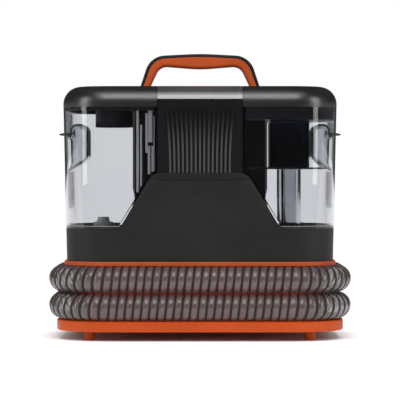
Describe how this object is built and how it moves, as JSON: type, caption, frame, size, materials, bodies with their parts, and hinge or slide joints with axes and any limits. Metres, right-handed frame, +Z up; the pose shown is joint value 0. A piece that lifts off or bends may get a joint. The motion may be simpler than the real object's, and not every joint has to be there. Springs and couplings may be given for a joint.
{
  "type": "spot extractor",
  "caption": "Portable spot extractor: clear lift-off clean and dirty tanks beside a motor column, a ribbed suction hose wound on the base, and a hand tool docked behind.",
  "frame": {"origin": "on the floor, under the middle of the machine's footprint", "axes": "+Z up, front towards -Y, +X to the right seen from the front"},
  "size_m": [0.349, 0.223, 0.3306],
  "materials": {
    "orange_shell": "satin moulded",
    "dark_shell": "fine moulded texture",
    "gloss_black": "polished",
    "inner_black": "matte",
    "clear_tank": "clear, polished",
    "smoked_clear": "smoked, clear",
    "hose_vinyl": "smoked, flexible, ribbed",
    "soft_black": "matte",
    "tool_black": "satin",
    "button_orange": "satin",
    "float_foam": "moulded foam",
    "bristles": "nylon tufts",
    "steel": "machined",
    "motor_metal": "zinc plated",
    "impeller": "satin",
    "board": "solder mask"
  },
  "bodies": {
    "housing": {"air_dock": "inner_black", "air_duct": "inner_black", "base_plate": "orange_shell", "base_screws": "steel", "bay_liner": "dark_shell", "clean_dock": "inner_black", "column_shell": "dark_shell", "control_board": "board", "cord_gland": "dark_shell", "exhaust_grille": "dark_shell", "fan_housing": "inner_black", "fan_motor": "motor_metal", "feet": "orange_shell", "front_panel": "dark_shell", "front_shell": "dark_shell", "handle_frame": "dark_shell", "handle_grip": "orange_shell", "hose": "hose_vinyl", "hose_cuff": "soft_black", "hose_drum": "orange_shell", "housing_screws": "steel", "motor_bearings": "steel", "motor_mount": "soft_black", "power_switch": "inner_black", "pump_inlet_tube": "soft_black", "pump_outlet_tube": "soft_black", "rear_cover": "dark_shell", "rear_shell_left": "dark_shell", "rear_shell_right": "dark_shell", "recovery_dock": "inner_black", "recovery_duct": "inner_black", "ribbed_panel": "dark_shell", "ring_flange": "orange_shell", "spray_nozzle": "tool_black", "tool_brush": "bristles", "tool_clip": "dark_shell", "tool_handle": "tool_black", "tool_head": "smoked_clear", "top_cap": "gloss_black", "trigger_pin": "steel", "water_pump": "inner_black"},
    "clean_tank": {"clean_tank_shell": "clear_tank", "valve_body": "smoked_clear"},
    "valve": {"valve_stem": "steel"},
    "clean_lid": {"clean_lid": "gloss_black", "filler_neck": "inner_black"},
    "filler_cap": {"filler_cap": "gloss_black"},
    "dirty_tank": {"dirty_tank_shell": "clear_tank", "recovery_pipe": "smoked_clear", "air_pipe": "smoked_clear", "dock_seals": "soft_black"},
    "dirty_lid": {"dirty_lid": "gloss_black", "lid_collar": "inner_black", "separator_hood": "smoked_clear", "baffle_plate": "inner_black"},
    "float": {"float": "float_foam"},
    "power_button": {"power_button": "button_orange"},
    "trigger": {"trigger": "button_orange"},
    "rotor": {"motor_shaft": "steel", "fan_impeller": "impeller"}
  },
  "joints": [
    {"name": "clean_tank_lift", "type": "slide", "parent": "housing", "child": "clean_tank", "axis": [0, 0, 1], "range_m": [0, 0.2]},
    {"name": "valve_lift", "type": "slide", "parent": "clean_tank", "child": "valve", "axis": [0, 0, 1], "range_m": [0, 0.003], "stiffness_N_per_m": 300, "springref_m": -0.003},
    {"name": "clean_lid_lift", "type": "slide", "parent": "clean_tank", "child": "clean_lid", "axis": [0, 0, 1], "range_m": [0, 0.08]},
    {"name": "filler_cap_lift", "type": "slide", "parent": "clean_lid", "child": "filler_cap", "axis": [0, 0, 1], "range_m": [0, 0.04]},
    {"name": "dirty_tank_lift", "type": "slide", "parent": "housing", "child": "dirty_tank", "axis": [0, 0, 1], "range_m": [0, 0.2]},
    {"name": "dirty_lid_lift", "type": "slide", "parent": "dirty_tank", "child": "dirty_lid", "axis": [0, 0, 1], "range_m": [0, 0.09]},
    {"name": "float_rise", "type": "slide", "parent": "dirty_tank", "child": "float", "axis": [0, 0, 1], "range_m": [0, 0.015]},
    {"name": "power_button_press", "type": "slide", "parent": "housing", "child": "power_button", "axis": [0, 0, 1], "range_m": [-0.003, 0], "stiffness_N_per_m": 300, "springref_m": 0.002},
    {"name": "trigger_squeeze", "type": "hinge", "parent": "housing", "child": "trigger", "pos_m": [0, 0.107, 0.202], "axis": [1, 0, 0], "range_deg": [-8, 0], "stiffness_Nm_per_rad": 0.3, "springref_deg": 8.59},
    {"name": "motor_spin", "type": "hinge", "parent": "housing", "child": "rotor", "pos_m": [0, 0.0145, 0.18], "axis": [0, 0, 1], "continuous": true}
  ]
}
